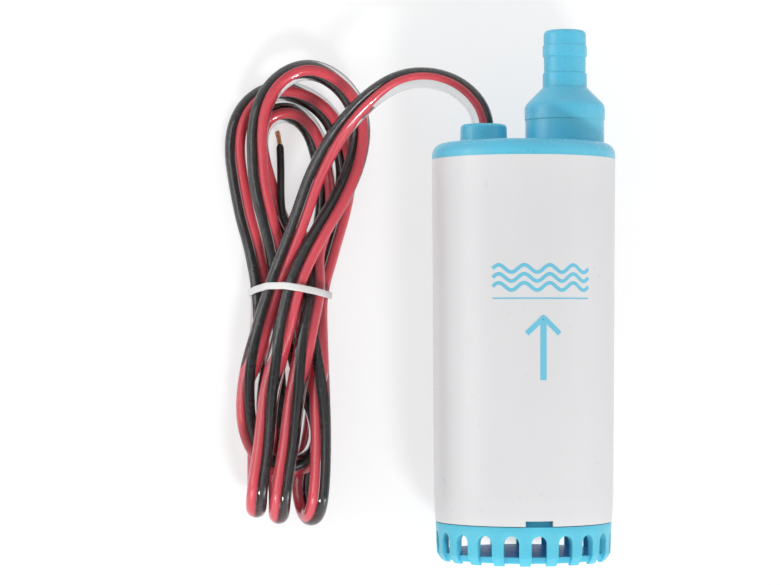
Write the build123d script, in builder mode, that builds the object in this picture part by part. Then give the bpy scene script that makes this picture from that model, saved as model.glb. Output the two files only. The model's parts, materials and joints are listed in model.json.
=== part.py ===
from build123d import *
import math
import os

os.makedirs("parts", exist_ok=True)

# A submersible pump that lies on its side with its cable folded into a tied hank beside it.
# Its axis runs along Y, with the outlet at +Y and the strainer at -Y. Z is up from the surface.
# Stations are heights along the pump's axis, counted from the strainer's feet.

# Lengths along the axis
strainer_height = 9.9
body_length = 91.5
cap_height = 4.65
neck_height = 9.1
neck_seam_height = 5.3
cone_height = 4.65
stem_length = 14.5

joint_station = strainer_height
body_top_station = joint_station + body_length
cap_top_station = body_top_station + cap_height
seam_station = cap_top_station + neck_seam_height
cone_foot_station = cap_top_station + neck_height
cone_top_station = cone_foot_station + cone_height
tip_station = cone_top_station + stem_length

# Housing, which narrows a little towards the strainer
body_top_radius = 23.25
body_waist_step = 0.5
body_foot_step = 0.85
body_foot_length = 6.4
body_wall = 2.65
body_waist_radius = body_top_radius - body_waist_step
body_foot_radius = body_top_radius - body_foot_step
body_bore_radius = body_top_radius - body_wall
notch_width = 6.9
notch_height = 1.35

# Strainer
slot_count = 20
slot_width = 3.9
slot_foot = 2.2
slot_arch_gap = 2.4
first_slot_angle = 7.3
strainer_wall = 1.9
strainer_step = 0.1
strainer_rim_step = 0.3
strainer_foot_step = 1.3
strainer_radius = body_foot_radius - strainer_step
strainer_rim_radius = strainer_radius - strainer_rim_step
strainer_foot_radius = strainer_rim_radius - strainer_foot_step
strainer_foot_width = 0.8
strainer_bevel_height = 1.9
strainer_plate_lift = 0.7
strainer_groove_depth = 1.1
strainer_spigot_length = 4.3
strainer_spigot_wall = 1.5
strainer_spigot_gap = 0.25
strainer_face_gap = 0.2

# Cap, cable boss and outlet neck
cap_edge_radius = 3.0
cap_crown = 0.6
cap_thickness = 2.6
cap_spigot_length = 6.0
cap_spigot_wall = 2.3
boss_x = -10.1
boss_height = 4.4
boss_radius = 5.95
boss_taper = 2.0
boss_edge_radius = 1.0
boss_lip = 1.5
boss_mouth_radius = 0.6
socket_radius = 6.2
socket_bore_radius = 4.6
neck_x = 10.5
neck_radius = 10.2
neck_foot_radius = 10.0
neck_bore_radius = 7.6
seat_bore_radius = 3.6
seam_bevel = 0.2

# Hose nozzle
stem_radius = 5.3
stem_ring_radius = 5.62
stem_ring_slope = 0.3
lower_ring_foot = 0.1
lower_ring_length = 3.6
upper_ring_foot = 7.6
upper_ring_length = 3.1
tip_radius = 5.38
tip_rounding = 1.2
stem_bore_radius = 4.0
cone_foot_fillet = 2.5
skirt_length = 3.0
skirt_bore_radius = 5.9
guide_radius = 2.9
guide_length = 1.8
guide_foot = 2.25
guide_arm_width = 1.2
guide_arm_count = 3

# Non-return valve
valve_lift = 2.5
valve_gap = 0.1
washer_radius = 4.8
washer_thickness = 1.0
poppet_radius = 4.8
poppet_thickness = 1.4
spindle_radius = 1.05
spindle_length = 6.5
spring_radius = 2.1
spring_wire = 0.44
spring_turns = 4

# Dry capsule round the motor
capsule_wall = 1.5
capsule_foot_station = 24.0
capsule_floor = 2.5
wiring_space = 12.5
lid_thickness = 2.5
lid_skirt_wall = 1.4
fin_count = 4
fin_width = 1.6
fin_length = 56.0
lid_neck_radius = 4.4
lid_neck_bore = 2.4
cable_seal_length = 6.6
neck_groove_drop = 7.35
seal_pocket_radius = 4.5
seal_pocket_depth = 2.7
seal_boss_radius = 6.4
seal_boss_drop = 1.1

# Impeller, casing and diffuser
casing_floor_station = 14.4
casing_floor = 1.8
casing_wall = 1.6
casing_gap = 0.05
eye_radius = 5.2
eye_lip_radius = 6.4
eye_lip_drop = 1.2
impeller_step = 0.2
impeller_hub_radius = 3.6
impeller_foot_station = 17.0
impeller_vane_height = 4.0
impeller_plate = 1.2
vane_count = 6
vane_width = 1.2
diffuser_thickness = 1.3
diffuser_vane_count = 8
diffuser_vane_height = 7.0
diffuser_vane_width = 1.2

# Motor
motor_radius = 14.25
motor_wall = 1.0
motor_gap = 0.45
motor_tail = 10.5
bell_length = 5.0
shaft_radius = 1.5
shaft_foot_length = 0.4
shaft_tail = 1.5
bush_radius = 3.5
bush_length = 4.0
magnet_thickness = 3.2
magnet_overhang = 2.0
magnet_spread = 140.0
air_gap = 0.43
core_length = 24.0
core_foot_space = 7.5
tooth_count = 5
tooth_width = 2.4
tooth_head = 1.6
tooth_opening = 1.5
core_hub_radius = 4.2
coil_width = 5.4
coil_overhang = 1.8
commutator_space = 3.0
commutator_length = 7.0
commutator_radius = 3.6
commutator_sleeve_radius = 2.3
commutator_slot = 0.4
washer_width = 0.5
shaft_washer_radius = 3.0
spacer_radius = 2.8
brush_width = 3.0
brush_height = 3.6
arm_x = 8.4
arm_thickness = 0.4
arm_foot_space = 1.6
arm_tail = 5.5

# Clearances
fit_gap = 0.02
running_gap = 0.03
slide_gap = 0.1
seal_gap = 0.03

# Cable: a round jacket over two cores
cable_radius = 2.7
jacket_foot_station = 98.5
core_wire_radius = 0.95
copper_radius = 0.65

# Derived places
axis_height = body_top_radius
foot_y = -tip_station / 2
side_plane = Plane.XY.offset(axis_height)

# The motor's stack, from the capsule's floor up to the capsule's lid
capsule_floor_top = capsule_foot_station + capsule_floor
core_station = capsule_floor_top + core_foot_space
core_top_station = core_station + core_length
commutator_station = core_top_station + commutator_space
can_top_station = core_top_station + motor_tail
bell_top_station = can_top_station + bell_length
rear_bush_foot = bell_top_station - bush_length
capsule_top_station = bell_top_station + wiring_space
arm_foot_station = commutator_station + arm_foot_space
arm_top_station = bell_top_station + arm_tail
shaft_foot_station = impeller_foot_station - shaft_foot_length
shaft_top_station = bell_top_station + shaft_tail

# The radii that follow from the motor's and the housing's
can_bore = motor_radius - motor_wall
magnet_bore = can_bore - fit_gap - magnet_thickness
core_radius = magnet_bore - air_gap
capsule_bore = motor_radius + motor_gap
capsule_radius = capsule_bore + capsule_wall
casing_radius = body_bore_radius - casing_gap
casing_bore = casing_radius - casing_wall
impeller_radius = capsule_radius - impeller_step


def turned(outline, centre_x=0.0):
    """A turned piece, from the corners of its half section as (radius, station) pairs."""
    with BuildPart() as piece:
        with BuildSketch(side_plane):
            with BuildLine():
                Polyline(*[(centre_x + radius, foot_y + station) for radius, station in outline], close=True)
            make_face()
        revolve(axis=Axis((centre_x, 0, axis_height), (0, 1, 0)))
    return piece


def ring(outer, inner, low, high, centre_x=0.0):
    """A plain ring between two stations."""
    return turned([(inner, low), (outer, low), (outer, high), (inner, high)], centre_x)


def o_ring(groove_radius, bore_radius, station, centre_x=0.0):
    """A rubber ring in a groove, that reaches the bore round it."""
    section = (bore_radius - groove_radius) / 2 - seal_gap
    with BuildPart() as piece:
        with BuildSketch(side_plane):
            with Locations((centre_x + (bore_radius + groove_radius) / 2, foot_y + station)):
                Circle(section)
        revolve(axis=Axis((centre_x, 0, axis_height), (0, 1, 0)))
    return piece


def cross_plane(station):
    """The plane square to the pump's axis at a station, facing the outlet."""
    return Plane(origin=(0, foot_y + station, axis_height), x_dir=(1, 0, 0), z_dir=(0, 1, 0))


def outward_plane(angle, radius=0.0):
    """The plane that faces out from the axis, its angle counted from straight up towards +X."""
    turn = math.radians(angle)
    outward = Vector(math.sin(turn), 0, math.cos(turn))
    origin = Vector(0, foot_y, axis_height) + outward * radius
    return Plane(origin=origin, x_dir=(math.cos(turn), 0, -math.sin(turn)), z_dir=outward)


def save(piece, name):
    """Label a piece and write it under its name."""
    piece.part.label = name
    export_step(piece.part, f"parts/{name}.step")


# Housing: a tube with a notch in its lower edge, where a blade lifts the strainer off
with BuildPart() as housing:
    with BuildSketch(side_plane):
        with BuildLine():
            Polyline(
                (body_bore_radius, foot_y + joint_station),
                (body_foot_radius, foot_y + joint_station),
                (body_waist_radius, foot_y + joint_station + body_foot_length),
                (body_top_radius, foot_y + body_top_station),
                (body_bore_radius, foot_y + body_top_station),
                close=True,
            )
        make_face()
    revolve(axis=Axis((0, 0, axis_height), (0, 1, 0)))
    with BuildSketch(outward_plane(first_slot_angle, body_bore_radius - 1)):
        with Locations((0, joint_station + notch_height / 2)):
            Rectangle(notch_width, notch_height)
    extrude(amount=body_top_radius - body_bore_radius + 2, mode=Mode.SUBTRACT)
save(housing, "housing")

# Strainer: a basket with arched slots, a bevelled foot and a spigot that fits the housing
spigot_radius = body_bore_radius - strainer_spigot_gap
spigot_bore = spigot_radius - strainer_spigot_wall
strainer_bore = strainer_radius - strainer_wall
strainer_top = joint_station - strainer_face_gap
slot_top = joint_station - slot_arch_gap
with BuildPart() as strainer:
    with BuildSketch(side_plane):
        with BuildLine():
            Polyline(
                (0, foot_y + strainer_plate_lift),
                (strainer_foot_radius - strainer_foot_width, foot_y + strainer_plate_lift),
                (strainer_foot_radius - strainer_foot_width, foot_y),
                (strainer_foot_radius, foot_y),
                (strainer_rim_radius, foot_y + strainer_bevel_height),
                (strainer_radius, foot_y + strainer_top),
                (spigot_radius, foot_y + strainer_top),
                (spigot_radius, foot_y + joint_station + strainer_spigot_length - strainer_face_gap),
                (spigot_bore, foot_y + joint_station + strainer_spigot_length - strainer_face_gap),
                (spigot_bore, foot_y + slot_top + 1.1),
                (strainer_bore, foot_y + slot_top + 0.4),
                (strainer_bore, foot_y + slot_foot),
                (0, foot_y + slot_foot),
                close=True,
            )
        make_face()
    revolve(axis=Axis((0, 0, axis_height), (0, 1, 0)))
    for number in range(slot_count):
        angle = first_slot_angle + number * 360 / slot_count
        arch_station = slot_top - slot_width / 2
        with BuildSketch(outward_plane(angle, strainer_bore - 1)):
            with Locations((0, (slot_foot + arch_station) / 2)):
                Rectangle(slot_width, arch_station - slot_foot)
            with Locations((0, arch_station)):
                Circle(slot_width / 2)
        extrude(amount=strainer_wall + 2, mode=Mode.SUBTRACT)
        with BuildSketch(outward_plane(angle, strainer_rim_radius - strainer_groove_depth)):
            with Locations((0, slot_foot / 2)):
                Rectangle(slot_width, slot_foot)
        extrude(amount=2 * strainer_groove_depth, mode=Mode.SUBTRACT)
        with BuildSketch(outward_plane(angle, strainer_foot_radius - 2 * strainer_foot_width)):
            with Locations((0, strainer_plate_lift / 2)):
                Rectangle(slot_width, strainer_plate_lift)
        extrude(amount=3 * strainer_foot_width, mode=Mode.SUBTRACT)
save(strainer, "strainer")

# Cap: a crowned disc with a spigot, the cable boss over its socket, and the wide outlet neck
cap_spigot_radius = body_bore_radius - slide_gap
cap_spigot_bore = cap_spigot_radius - cap_spigot_wall
cap_under_station = cap_top_station - cap_thickness
cap_groove_station = body_top_station - cap_spigot_length / 2
cap_groove_radius = cap_spigot_radius - 1.0
lid_top_station = capsule_top_station + lid_thickness
boss_top_station = cap_top_station + boss_height
seal_top_station = boss_top_station - boss_lip
with BuildPart() as top_cap:
    with BuildSketch(side_plane) as cap_section:
        with BuildLine():
            Polyline(
                (0, foot_y + cap_under_station),
                (cap_spigot_bore, foot_y + cap_under_station),
                (cap_spigot_bore, foot_y + body_top_station - cap_spigot_length),
                (cap_spigot_radius, foot_y + body_top_station - cap_spigot_length),
                (cap_spigot_radius, foot_y + body_top_station),
                (body_top_radius, foot_y + body_top_station),
                (body_top_radius, foot_y + cap_top_station - cap_crown),
                (0, foot_y + cap_top_station),
                close=True,
            )
        make_face()
        rim = cap_section.vertices().group_by(Axis.X)[-1].sort_by(Axis.Y)[-1]
        fillet(rim, radius=cap_edge_radius)
    revolve(axis=Axis((0, 0, axis_height), (0, 1, 0)))
    with BuildSketch(cross_plane(cap_under_station)):
        with Locations((boss_x, 0)):
            Circle(boss_radius + 0.15)
    extrude(amount=boss_top_station - cap_under_station, taper=boss_taper)
    fillet(top_cap.faces().sort_by(Axis.Y)[-1].edges(), radius=boss_edge_radius)
    with BuildSketch(cross_plane(lid_top_station + slide_gap)):
        with Locations((boss_x, 0)):
            Circle(socket_radius)
    extrude(until=Until.NEXT)
    with BuildSketch(side_plane):
        with BuildLine():
            Polyline(
                (neck_x, foot_y + cap_under_station),
                (neck_x + neck_foot_radius, foot_y + cap_under_station + 1),
                (neck_x + neck_radius - seam_bevel, foot_y + seam_station - 3 * seam_bevel),
                (neck_x + neck_radius - seam_bevel, foot_y + seam_station),
                (neck_x, foot_y + seam_station),
                close=True,
            )
        make_face()
    revolve(axis=Axis((neck_x, 0, axis_height), (0, 1, 0)))
    with BuildSketch(cross_plane(cap_top_station)):
        with Locations((neck_x, 0)):
            Circle(neck_bore_radius)
    extrude(amount=neck_seam_height, mode=Mode.SUBTRACT)
    with BuildSketch(cross_plane(cap_under_station - 1)):
        with Locations((neck_x, 0)):
            Circle(seat_bore_radius)
    extrude(amount=cap_thickness + 2, mode=Mode.SUBTRACT)
    with BuildSketch(cross_plane(lid_top_station)):
        with Locations((boss_x, 0)):
            Circle(socket_bore_radius)
    extrude(amount=seal_top_station - lid_top_station, mode=Mode.SUBTRACT)
    with BuildSketch(cross_plane(seal_top_station - 1)):
        with Locations((boss_x, 0)):
            Circle(cable_radius + 0.15)
    extrude(amount=boss_lip + 2, mode=Mode.SUBTRACT)
    mouth = top_cap.edges().filter_by(GeomType.CIRCLE).sort_by_distance((boss_x, foot_y + boss_top_station, axis_height))
    fillet(mouth.filter_by(lambda edge: edge.radius < cable_radius + 0.5)[0], radius=boss_mouth_radius)
    with BuildSketch(side_plane):
        with Locations((cap_groove_radius + 1, foot_y + cap_groove_station)):
            Rectangle(2, 1.2)
    revolve(axis=Axis((0, 0, axis_height), (0, 1, 0)), mode=Mode.SUBTRACT)
save(top_cap, "top_cap")

cap_seal = o_ring(cap_groove_radius, body_bore_radius, cap_groove_station)
save(cap_seal, "cap_seal")

# Hose nozzle: the neck's upper part, its cone and the hose stem, with the valve's guide inside
skirt_radius = neck_bore_radius - slide_gap
skirt_foot_station = seam_station - skirt_length
skirt_groove_radius = skirt_radius - 0.8
skirt_groove_station = seam_station - skirt_length / 2
guide_foot_station = seam_station + guide_foot
lower_ring = cone_top_station + lower_ring_foot
upper_ring = cone_top_station + upper_ring_foot
with BuildPart() as hose_nozzle:
    with BuildSketch(side_plane) as nozzle_section:
        with BuildLine():
            Polyline(
                *[
                    (neck_x + radius, foot_y + station)
                    for radius, station in [
                        (skirt_bore_radius, skirt_foot_station),
                        (skirt_radius, skirt_foot_station),
                        (skirt_radius, seam_station),
                        (neck_radius - seam_bevel, seam_station),
                        (neck_radius, seam_station + seam_bevel),
                        (neck_radius, cone_foot_station),
                        (stem_ring_radius, cone_top_station),
                        (stem_ring_radius, lower_ring + lower_ring_length - stem_ring_slope),
                        (stem_radius, lower_ring + lower_ring_length),
                        (stem_radius, upper_ring),
                        (stem_ring_radius, upper_ring + stem_ring_slope),
                        (stem_ring_radius, upper_ring + upper_ring_length - stem_ring_slope),
                        (tip_radius, upper_ring + upper_ring_length),
                        (tip_radius, tip_station),
                        (stem_bore_radius, tip_station),
                        (stem_bore_radius, cone_top_station),
                        (skirt_bore_radius, cone_foot_station),
                    ]
                ],
                close=True,
            )
        make_face()
        shoulder = nozzle_section.vertices().sort_by_distance((neck_x + neck_radius, foot_y + cone_foot_station))[0]
        fillet(shoulder, radius=cone_foot_fillet)
        tip = nozzle_section.vertices().sort_by_distance((neck_x + tip_radius, foot_y + tip_station))[0]
        fillet(tip, radius=tip_rounding)
    revolve(axis=Axis((neck_x, 0, axis_height), (0, 1, 0)))
    with BuildSketch(cross_plane(guide_foot_station)):
        with Locations((neck_x, 0)):
            Circle(guide_radius)
            with PolarLocations((guide_radius + skirt_bore_radius) / 2, guide_arm_count, start_angle=90):
                Rectangle(skirt_bore_radius - guide_radius + 1, guide_arm_width)
            Circle(spindle_radius + slide_gap, mode=Mode.SUBTRACT)
    extrude(amount=guide_length)
    with BuildSketch(side_plane):
        with Locations((neck_x + skirt_groove_radius + 1, foot_y + skirt_groove_station)):
            Rectangle(2, 1.0)
    revolve(axis=Axis((neck_x, 0, axis_height), (0, 1, 0)), mode=Mode.SUBTRACT)
save(hose_nozzle, "hose_nozzle")

nozzle_seal = o_ring(skirt_groove_radius, neck_bore_radius, skirt_groove_station, neck_x)
save(nozzle_seal, "nozzle_seal")

# Non-return valve: a rubber washer under a poppet on a spindle, closed by a coil spring
washer_foot = cap_top_station + valve_gap
poppet_foot = washer_foot + washer_thickness
poppet_top = poppet_foot + poppet_thickness
valve_washer = turned(
    [
        (0, washer_foot),
        (washer_radius, washer_foot),
        (washer_radius, poppet_foot),
        (0, poppet_foot),
    ],
    neck_x,
)
save(valve_washer, "valve_washer")

valve_poppet = turned(
    [
        (0, poppet_foot),
        (poppet_radius, poppet_foot),
        (poppet_radius, poppet_top),
        (spindle_radius, poppet_top),
        (spindle_radius, poppet_top + spindle_length),
        (0, poppet_top + spindle_length),
    ],
    neck_x,
)
save(valve_poppet, "valve_poppet")

spring_height = guide_foot_station - poppet_top - spring_wire - 2 * fit_gap
spring_foot = Vector(neck_x, foot_y + poppet_top + spring_wire / 2 + fit_gap, axis_height)
with BuildPart() as valve_spring:
    with BuildLine() as spring_line:
        Helix(
            pitch=spring_height / spring_turns,
            height=spring_height,
            radius=spring_radius,
            center=spring_foot,
            direction=(0, 1, 0),
        )
    with BuildSketch(Plane(origin=spring_line.line @ 0, z_dir=spring_line.line % 0)):
        Circle(spring_wire / 2)
    sweep()
save(valve_spring, "valve_spring")

# Pump casing: a cup with the inlet eye in its floor
casing_top_station = capsule_foot_station
pump_casing = turned(
    [
        (eye_radius, casing_floor_station - eye_lip_drop),
        (eye_lip_radius, casing_floor_station - eye_lip_drop),
        (eye_lip_radius, casing_floor_station),
        (casing_radius, casing_floor_station),
        (casing_radius, casing_top_station),
        (casing_bore, casing_top_station),
        (casing_bore, casing_floor_station + casing_floor),
        (eye_radius, casing_floor_station + casing_floor),
    ]
)
save(pump_casing, "pump_casing")

# Diffuser: a plate over the impeller with guide vanes round it, against the casing's wall
diffuser_foot = capsule_foot_station - diffuser_thickness
diffuser_radius = impeller_radius + 0.4
vane_reach = casing_bore - fit_gap
with BuildPart() as diffuser:
    with BuildSketch(cross_plane(diffuser_foot)):
        Circle(diffuser_radius)
        Circle(seal_boss_radius + slide_gap, mode=Mode.SUBTRACT)
    extrude(amount=diffuser_thickness)
    with BuildSketch(cross_plane(capsule_foot_station - diffuser_vane_height)):
        with PolarLocations((impeller_radius + 0.3 + vane_reach - 0.1) / 2, diffuser_vane_count, start_angle=22.5):
            Rectangle(vane_reach - 0.1 - impeller_radius - 0.3, diffuser_vane_width)
    extrude(amount=diffuser_vane_height)
save(diffuser, "diffuser")

# Impeller: curved vanes under a round plate, on a hub that fits the shaft
impeller_plate_station = impeller_foot_station + impeller_vane_height


def polar_point(radius, angle):
    """A point at a radius and an angle in degrees."""
    return (radius * math.cos(math.radians(angle)), radius * math.sin(math.radians(angle)))


with BuildPart() as impeller:
    with BuildSketch(cross_plane(impeller_plate_station)):
        Circle(impeller_radius)
    extrude(amount=impeller_plate)
    with BuildSketch(cross_plane(impeller_foot_station)):
        Circle(impeller_hub_radius)
    extrude(amount=impeller_vane_height)
    for number in range(vane_count):
        turn = number * 360 / vane_count
        with BuildSketch(cross_plane(impeller_foot_station)):
            with BuildLine():
                ThreePointArc(
                    polar_point(impeller_hub_radius + 1.4, turn),
                    polar_point(0.65 * impeller_radius, turn + 17),
                    polar_point(impeller_radius - 0.4, turn + 44),
                )
            trace(line_width=vane_width)
        extrude(amount=impeller_vane_height)
    with BuildSketch(cross_plane(impeller_foot_station)):
        Circle(shaft_radius + fit_gap)
    extrude(amount=impeller_vane_height + impeller_plate, mode=Mode.SUBTRACT)
save(impeller, "impeller")

# Motor capsule: the dry tube round the motor, with fins to the housing and a pocket for the lip seal
seal_foot_station = capsule_foot_station - seal_boss_drop
shaft_hole_radius = shaft_radius + 0.2
with BuildPart() as motor_capsule:
    with BuildSketch(side_plane):
        with BuildLine():
            Polyline(
                (shaft_hole_radius, foot_y + capsule_floor_top),
                (shaft_hole_radius, foot_y + seal_foot_station + seal_pocket_depth),
                (seal_pocket_radius, foot_y + seal_foot_station + seal_pocket_depth),
                (seal_pocket_radius, foot_y + seal_foot_station),
                (seal_boss_radius, foot_y + seal_foot_station),
                (seal_boss_radius, foot_y + capsule_foot_station),
                (capsule_radius, foot_y + capsule_foot_station),
                (capsule_radius, foot_y + capsule_top_station),
                (capsule_bore, foot_y + capsule_top_station),
                (capsule_bore, foot_y + capsule_floor_top),
                close=True,
            )
        make_face()
    revolve(axis=Axis((0, 0, axis_height), (0, 1, 0)))
    with BuildSketch(cross_plane(capsule_foot_station)):
        fin_reach = body_bore_radius - slide_gap
        with PolarLocations((capsule_radius - 0.4 + fin_reach) / 2, fin_count, start_angle=45):
            Rectangle(fin_reach - capsule_radius + 0.4, fin_width)
    extrude(amount=fin_length)
save(motor_capsule, "motor_capsule")

shaft_seal = ring(
    seal_pocket_radius - fit_gap,
    shaft_radius + running_gap,
    seal_foot_station,
    seal_foot_station + seal_pocket_depth - fit_gap,
)
save(shaft_seal, "shaft_seal")

# Capsule lid: its skirt holds the motor down, and its neck carries the cable through the water
lid_skirt_radius = capsule_bore - slide_gap
neck_end_station = seal_top_station - cable_seal_length
jacket_pocket_radius = cable_radius + 0.2
neck_groove_station = neck_end_station - neck_groove_drop
with BuildPart() as capsule_lid:
    with BuildSketch(side_plane):
        with BuildLine():
            Polyline(
                (0, foot_y + capsule_top_station),
                (lid_skirt_radius - lid_skirt_wall, foot_y + capsule_top_station),
                (lid_skirt_radius - lid_skirt_wall, foot_y + bell_top_station),
                (lid_skirt_radius, foot_y + bell_top_station),
                (lid_skirt_radius, foot_y + capsule_top_station),
                (capsule_radius, foot_y + capsule_top_station),
                (capsule_radius, foot_y + lid_top_station),
                (0, foot_y + lid_top_station),
                close=True,
            )
        make_face()
    revolve(axis=Axis((0, 0, axis_height), (0, 1, 0)))
    with BuildSketch(cross_plane(capsule_top_station)):
        with Locations((boss_x, 0)):
            Circle(lid_neck_radius)
    extrude(amount=neck_end_station - capsule_top_station)
    with BuildSketch(cross_plane(capsule_top_station - 1)):
        with Locations((boss_x, 0)):
            Circle(lid_neck_bore)
    extrude(amount=neck_end_station - capsule_top_station + 2, mode=Mode.SUBTRACT)
    with BuildSketch(cross_plane(jacket_foot_station - slide_gap)):
        with Locations((boss_x, 0)):
            Circle(jacket_pocket_radius)
    extrude(amount=neck_end_station - jacket_foot_station + 2, mode=Mode.SUBTRACT)
    with BuildSketch(side_plane):
        with Locations((boss_x + lid_neck_radius, foot_y + neck_groove_station)):
            Rectangle(2.0, 1.3)
    revolve(axis=Axis((boss_x, 0, axis_height), (0, 1, 0)), mode=Mode.SUBTRACT)
save(capsule_lid, "capsule_lid")

neck_seal = o_ring(lid_neck_radius - 1.0, socket_bore_radius, neck_groove_station, boss_x)
save(neck_seal, "neck_seal")

cable_seal = ring(
    socket_bore_radius - fit_gap,
    cable_radius + fit_gap,
    neck_end_station,
    seal_top_station,
    boss_x,
)
save(cable_seal, "cable_seal")

# Motor can, closed at its foot, with a collar for the front bush
bush_seat_radius = bush_radius + fit_gap
motor_can = turned(
    [
        (bush_seat_radius, capsule_floor_top),
        (motor_radius, capsule_floor_top),
        (motor_radius, can_top_station),
        (can_bore, can_top_station),
        (can_bore, capsule_floor_top + motor_wall),
        (bush_radius + 1.4, capsule_floor_top + motor_wall),
        (bush_radius + 1.4, capsule_floor_top + bush_length),
        (bush_seat_radius, capsule_floor_top + bush_length),
    ]
)
save(motor_can, "motor_can")

# End bell: the plastic cover that holds the rear bush and both brush arms
bell_plate_station = bell_top_station - 2.5
bell_ring_radius = can_bore - 0.05
with BuildPart() as end_bell:
    with BuildSketch(side_plane):
        with BuildLine():
            Polyline(
                (bush_seat_radius, foot_y + rear_bush_foot),
                (bush_radius + 1.7, foot_y + rear_bush_foot),
                (bush_radius + 1.7, foot_y + bell_plate_station),
                (bell_ring_radius - 1.2, foot_y + bell_plate_station),
                (bell_ring_radius - 1.2, foot_y + can_top_station - 2),
                (bell_ring_radius, foot_y + can_top_station - 2),
                (bell_ring_radius, foot_y + can_top_station),
                (motor_radius, foot_y + can_top_station),
                (motor_radius, foot_y + bell_top_station),
                (bush_seat_radius, foot_y + bell_top_station),
                close=True,
            )
        make_face()
    revolve(axis=Axis((0, 0, axis_height), (0, 1, 0)))
    with BuildSketch(cross_plane(bell_plate_station - 1)):
        with Locations((arm_x + arm_thickness / 2, 0), (-arm_x - arm_thickness / 2, 0)):
            Rectangle(arm_thickness + 2 * fit_gap, brush_width + 2 * fit_gap)
    extrude(amount=4.5, mode=Mode.SUBTRACT)
save(end_bell, "end_bell")

bush_front = ring(bush_radius, shaft_radius + running_gap, capsule_floor_top, capsule_floor_top + bush_length)
save(bush_front, "bush_front")

bush_rear = ring(bush_radius, shaft_radius + running_gap, rear_bush_foot, bell_top_station)
save(bush_rear, "bush_rear")

# Two curved magnets, above and below the rotor
for name, middle_angle in (("magnet_upper", -90.0), ("magnet_lower", 90.0)):
    start = middle_angle - magnet_spread / 2
    with BuildPart() as magnet:
        with BuildSketch(cross_plane(core_station - magnet_overhang)):
            with BuildLine():
                outside = CenterArc((0, 0), can_bore - fit_gap, start, magnet_spread)
                inside = CenterArc((0, 0), magnet_bore, start, magnet_spread)
                Line(outside @ 0, inside @ 0)
                Line(outside @ 1, inside @ 1)
            make_face()
        extrude(amount=core_length + 2 * magnet_overhang)
    save(magnet, name)

# Brushes and the brass arms that carry them, whose upper ends are the terminals
brush_reach = arm_x - commutator_radius - running_gap
brush_station = arm_foot_station + 0.6
for name, side in (("left", -1), ("right", 1)):
    with BuildPart() as brush:
        with BuildSketch(cross_plane(brush_station)):
            with Locations((side * (arm_x - brush_reach / 2), 0)):
                Rectangle(brush_reach, brush_width)
        extrude(amount=brush_height)
    save(brush, f"brush_{name}")
    with BuildPart() as brush_arm:
        with BuildSketch(cross_plane(arm_foot_station)):
            with Locations((side * (arm_x + arm_thickness / 2), 0)):
                Rectangle(arm_thickness, brush_width)
        extrude(amount=arm_top_station - arm_foot_station)
    save(brush_arm, f"brush_arm_{name}")

# Shaft, with the washers and spacers on it
shaft = turned(
    [
        (0, shaft_foot_station),
        (shaft_radius - 0.2, shaft_foot_station),
        (shaft_radius, shaft_foot_station + 0.2),
        (shaft_radius, shaft_top_station - 0.3),
        (shaft_radius - 0.3, shaft_top_station),
        (0, shaft_top_station),
    ]
)
save(shaft, "shaft")

shaft_bore = shaft_radius + fit_gap
front_washer_foot = capsule_floor_top + bush_length + slide_gap
rear_washer_foot = rear_bush_foot - slide_gap - washer_width
with BuildPart() as shaft_washers:
    for station in (front_washer_foot, rear_washer_foot):
        with BuildSketch(cross_plane(station)):
            Circle(shaft_washer_radius)
            Circle(shaft_bore, mode=Mode.SUBTRACT)
        extrude(amount=washer_width)
save(shaft_washers, "shaft_washers")

front_spacer = (front_washer_foot + washer_width, core_station)
rear_spacer = (core_top_station, commutator_station)
with BuildPart() as shaft_spacers:
    for low, high in (front_spacer, rear_spacer):
        with BuildSketch(cross_plane(low)):
            Circle(spacer_radius)
            Circle(shaft_bore, mode=Mode.SUBTRACT)
        extrude(amount=high - low)
save(shaft_spacers, "shaft_spacers")

# Armature core with its wound teeth
tooth_neck_end = core_radius - tooth_head
with BuildPart() as armature_core:
    with BuildSketch(cross_plane(core_station)):
        Circle(core_radius)
        Circle(tooth_neck_end, mode=Mode.SUBTRACT)
        with PolarLocations(core_radius, tooth_count, start_angle=90 + 180 / tooth_count):
            Rectangle(3 * tooth_head, tooth_opening, mode=Mode.SUBTRACT)
        Circle(core_hub_radius)
        with PolarLocations((core_hub_radius + tooth_neck_end) / 2, tooth_count, start_angle=90):
            Rectangle(tooth_neck_end - core_hub_radius + 1, tooth_width)
        Circle(shaft_bore, mode=Mode.SUBTRACT)
    extrude(amount=core_length)
save(armature_core, "armature_core")

coil_foot_radius = core_hub_radius + 0.3
coil_reach = math.sqrt(tooth_neck_end**2 - (coil_width / 2) ** 2) - 0.05
coil_height = core_length + 2 * coil_overhang
with BuildPart() as windings:
    for number in range(tooth_count):
        angle = 180 + number * 360 / tooth_count
        with BuildSketch(outward_plane(angle, coil_foot_radius)):
            with Locations((0, core_station + core_length / 2)):
                Rectangle(coil_width, coil_height)
                Rectangle(tooth_width + 0.1, core_length + 0.1, mode=Mode.SUBTRACT)
        extrude(amount=coil_reach - coil_foot_radius)
save(windings, "windings")

# Commutator: copper segments round an insulating sleeve
commutator_sleeve = ring(
    commutator_sleeve_radius,
    shaft_bore,
    commutator_station,
    commutator_station + commutator_length + 0.4,
)
save(commutator_sleeve, "commutator_sleeve")

with BuildPart() as commutator:
    with BuildSketch(cross_plane(commutator_station + 0.2)):
        Circle(commutator_radius)
        Circle(commutator_sleeve_radius + fit_gap, mode=Mode.SUBTRACT)
        with PolarLocations(commutator_radius, tooth_count, start_angle=90):
            Rectangle(2 * commutator_radius - 2, commutator_slot, mode=Mode.SUBTRACT)
    extrude(amount=commutator_length)
save(commutator, "commutator")


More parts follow.
